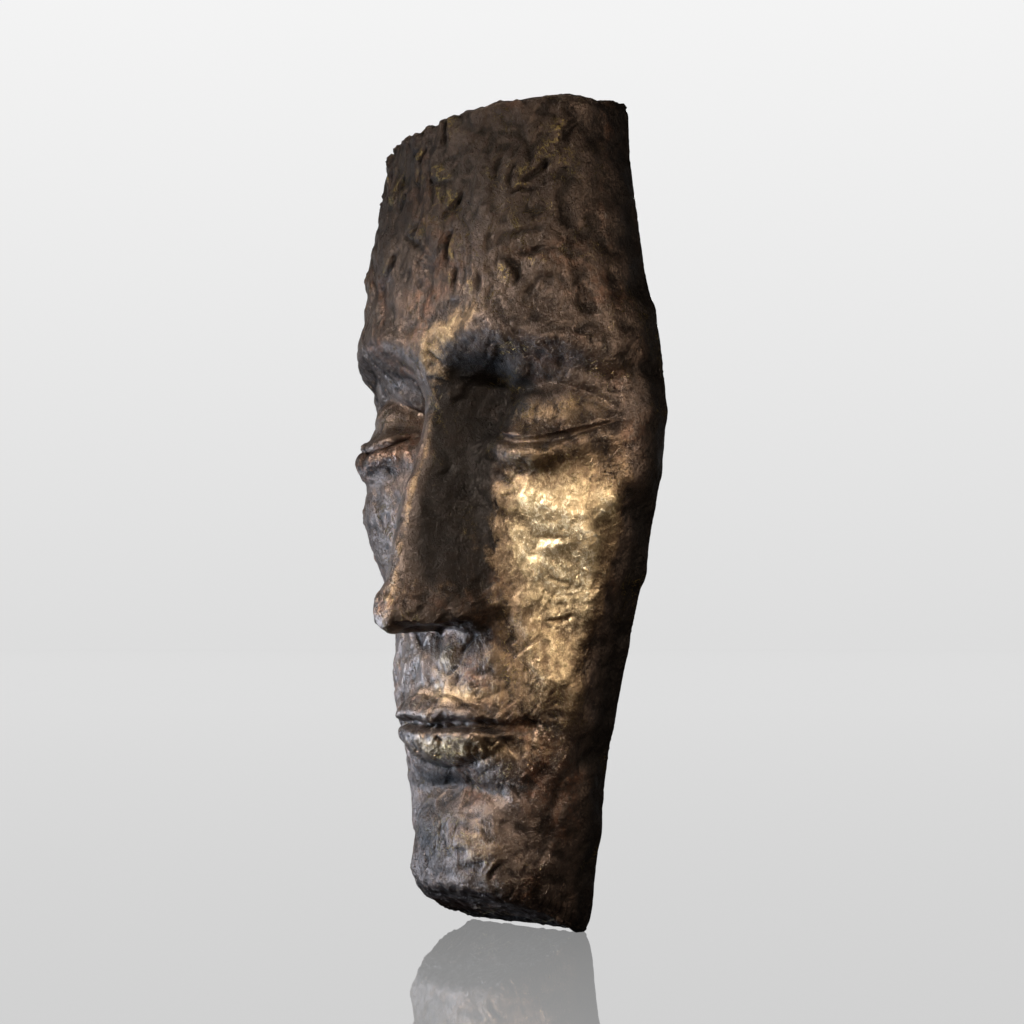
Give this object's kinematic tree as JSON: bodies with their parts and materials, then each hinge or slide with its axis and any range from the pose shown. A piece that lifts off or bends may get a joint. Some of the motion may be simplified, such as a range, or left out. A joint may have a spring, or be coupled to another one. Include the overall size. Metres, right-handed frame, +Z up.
{
  "type": "wall mask",
  "caption": "Hollow cast bronze wall mask: a tall narrow fragment of a calm face with closed eyes, roughly modelled, open at the back with a flat rim.",
  "frame": {"origin": "on the flat back face of the rim, in the middle of the top wall, where the mask hangs", "axes": "+Z up, -Y out of the wall in the direction the face looks, +X to the face's own left"},
  "size_m": [0.2724, 0.1561, 0.6111],
  "materials": {
    "bronze": "dark brown patinated bronze, satin, rubbed to gold on the raised forms"
  },
  "bodies": {
    "root": {"mask": "bronze"}
  },
  "joints": []
}
